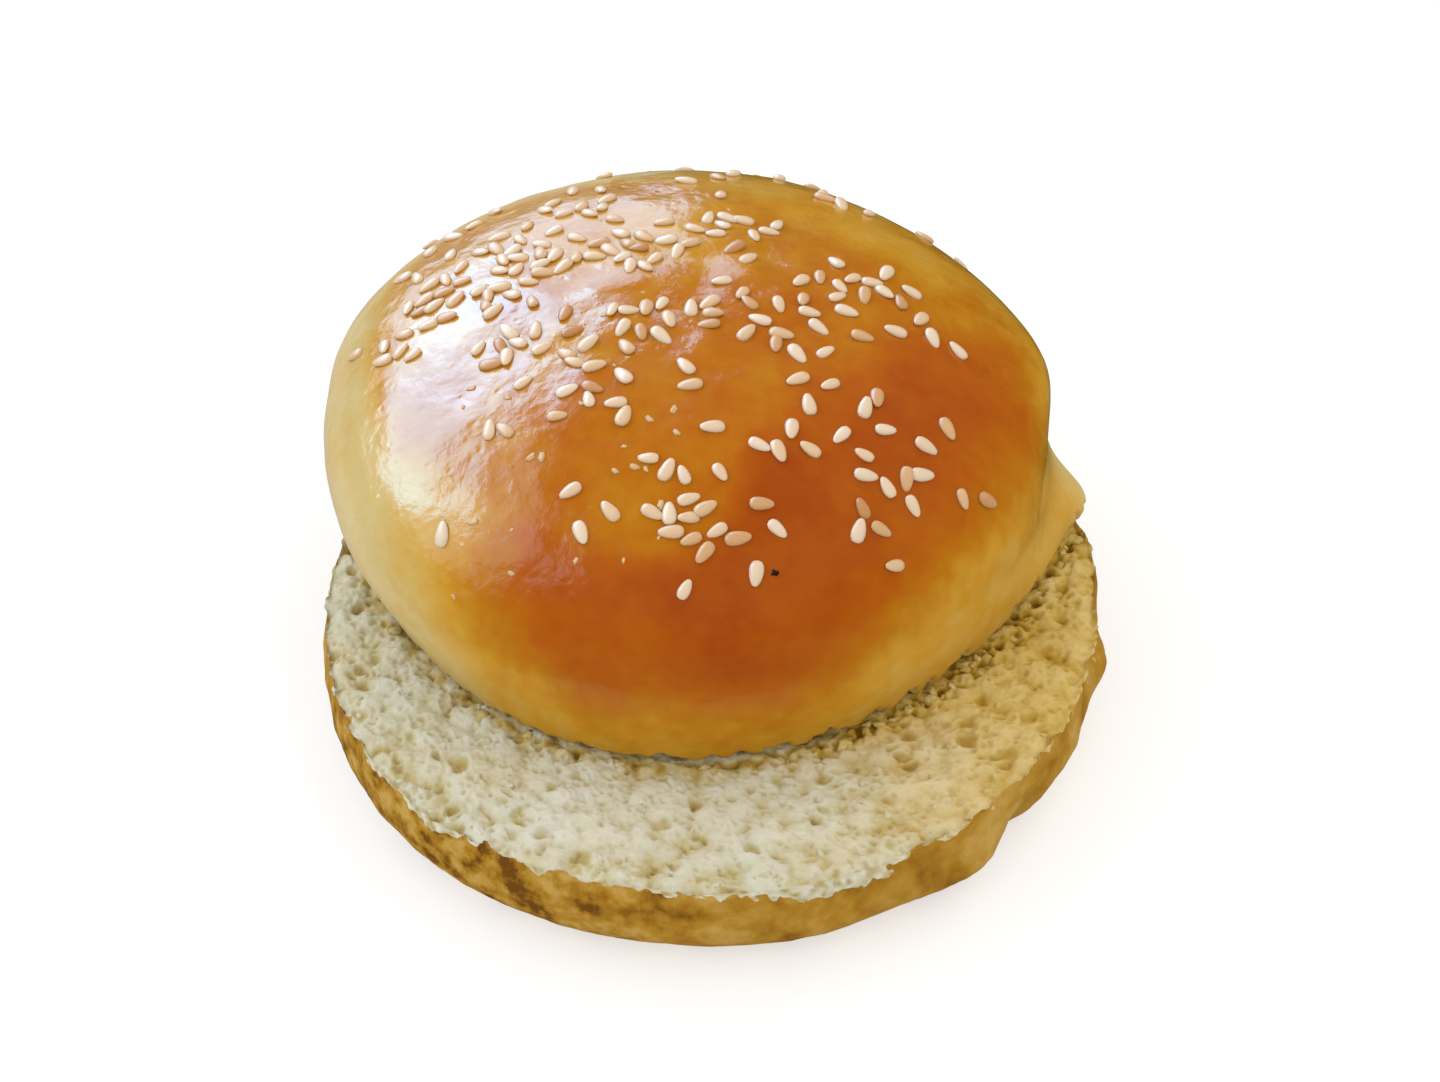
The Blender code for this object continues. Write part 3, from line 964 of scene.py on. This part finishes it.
def pebble(size, length, width, thickness, seed):
    """A small lumpy bit: a ball pushed about by noise, then scaled to its three sides."""
    bpy.ops.object.select_all(action="DESELECT")
    bpy.ops.mesh.primitive_ico_sphere_add(subdivisions=2, radius=0.5)
    lump = bpy.context.object
    points = points_of(lump)
    points *= 1 + LUMP_PUSH * rough(points + seed, LUMP_SHARE)[:, None]
    put_points(lump, points * (size * length, size * width, size * thickness))
    bpy.ops.object.shade_smooth()
    return lump


def plain(name, code, roughness):
    """A material of one colour."""
    material, _, shader = blank_material(name)
    shader.inputs["Base Color"].default_value = linear(code)
    shader.inputs["Roughness"].default_value = roughness
    return material


flake = pebble(BURNT_SIZE, 1, 0.8, 0.5, 3)
fallen_flake = lay(flake, crown, over_crown(BURNT_X, BURNT_Y), Matrix.Identity(4), 0)
burnt = gather([fallen_flake], "burnt_flour")
# Flour burnt to char in the oven: black and dull, a dark dot to the eye.
burnt.data.materials.append(plain("burnt_flour", "#1c120a", 0.6))
bpy.data.objects.remove(flake)

draw = random.Random(HUSKS_DRAW)
husk = pebble(HUSK_SIZE, 1, 0.6, 0.3, 5)
scraps = []
for _ in range(HUSKS):
    x, y = (draw.gauss(middle, HUSK_SPREAD) * MM for middle in HUSK_PLACE)
    facing = Matrix.Rotation(draw.uniform(0, math.tau), 4, "Z")
    turned = facing @ Matrix.Scale(draw.uniform(*HUSK_SIZES), 4)
    scraps.append(lay(husk, crown, over_crown(x, y), turned, HUSK_LIFT))
husks = gather(scraps, "husk_scraps")
# Husk that came off the seeds, dried and toasted: thin, dull and the colour of straw.
husks.data.materials.append(plain("dry_sesame_husk", "#c9a26a", 0.6))
bpy.data.objects.remove(husk)


# Loose crumbs
# Bits that came off when the crown was pushed back: small ones along the front of the torn face
# and larger ones against the crown's rim, painted yellower as shade, each a lumpy ball of the same
# soft bread.

CRUMB_SIZE = 1 * MM
CRUMB_KINDS = (11, 17, 23)
CRUMB_SINK = 0.15 * MM
CRUMBS_DRAW = 21
EDGE_CRUMBS = 90
EDGE_CRUMB_SIZES = (0.45, 1.1)
EDGE_ARC = (-165, -10)
EDGE_MARGIN = 0.8 * MM
EDGE_BAND = 12 * MM
RIM_CRUMBS = 45
RIM_CRUMB_SIZES = (0.8, 1.8)
RIM_MARGIN = 1.5 * MM
RIGHT_SHARE = 0.75
RIGHT_ARC = (-80, 6)
LEFT_ARC = (-150, -80)
PAST_RIM = (-0.2, 1.5)
# Crumbs this close to the crown's rim are painted yellower, as painted shade.
RIM_SHADE_WITHIN = 1.6 * MM
RIM_SHADE_YELLOWING = 0.5


def draw_crumbs():
    """Plan place, heading and size of each loose crumb."""
    draw = random.Random(CRUMBS_DRAW)
    places = []
    for _ in range(EDGE_CRUMBS):
        around = math.radians(draw.uniform(*EDGE_ARC))
        reach = CUT_RADIUS - EDGE_MARGIN - EDGE_BAND * draw.random() ** 2
        x, y = reach * math.cos(around), reach * math.sin(around)
        if math.hypot(x - CROWN_X, y - CROWN_Y) > RIM_RADIUS + RIM_MARGIN:
            heading = draw.uniform(0, math.tau)
            places.append((x, y, heading, draw.uniform(*EDGE_CRUMB_SIZES)))
    for _ in range(RIM_CRUMBS):
        arc = RIGHT_ARC if draw.random() < RIGHT_SHARE else LEFT_ARC
        around = math.radians(draw.uniform(*arc))
        push = swell(CROWN_LOBES, np.array([around]), np.zeros(1))[0]
        reach = RIM_RADIUS + push + draw.uniform(*PAST_RIM) * MM
        x, y = CROWN_X + reach * math.cos(around), CROWN_Y + reach * math.sin(around)
        heading = draw.uniform(0, math.tau)
        places.append((x, y, heading, draw.uniform(*RIM_CRUMB_SIZES)))
    return places


shapes = [pebble(CRUMB_SIZE, 1.3, 1, 0.55, kind) for kind in CRUMB_KINDS]
fallen = []
for number, (x, y, heading, size) in enumerate(draw_crumbs()):
    kind = number % len(shapes)
    above = Vector((x, y, HEEL_HEIGHT + 2 * MM))
    turned = Matrix.Rotation(heading, 4, "Z") @ Matrix.Scale(size, 4)
    crumb = lay(shapes[kind], heel, above, turned, -CRUMB_SINK)
    # Crumbs close to the rim are painted yellower: painted shade under the crown's edge.
    off_rim, _ = past_rim(np.array([x]), np.array([y]))
    by_rim = RIM_SHADE_YELLOWING * (off_rim[0] < RIM_SHADE_WITHIN)
    count = len(crumb.data.vertices)
    paint(crumb, "dryness_and_shade", [min(1, dryness_and_shade_at(x, y) + by_rim)] * count)
    paint(crumb, "crust", [-1] * count)
    paint(crumb, "depth", [0.15 + 0.1 * kind] * count)
    fallen.append(crumb)
for shape in shapes:
    bpy.data.objects.remove(shape)
crumbs = gather(fallen, "loose_crumbs")
crumbs.data.materials.append(bread)
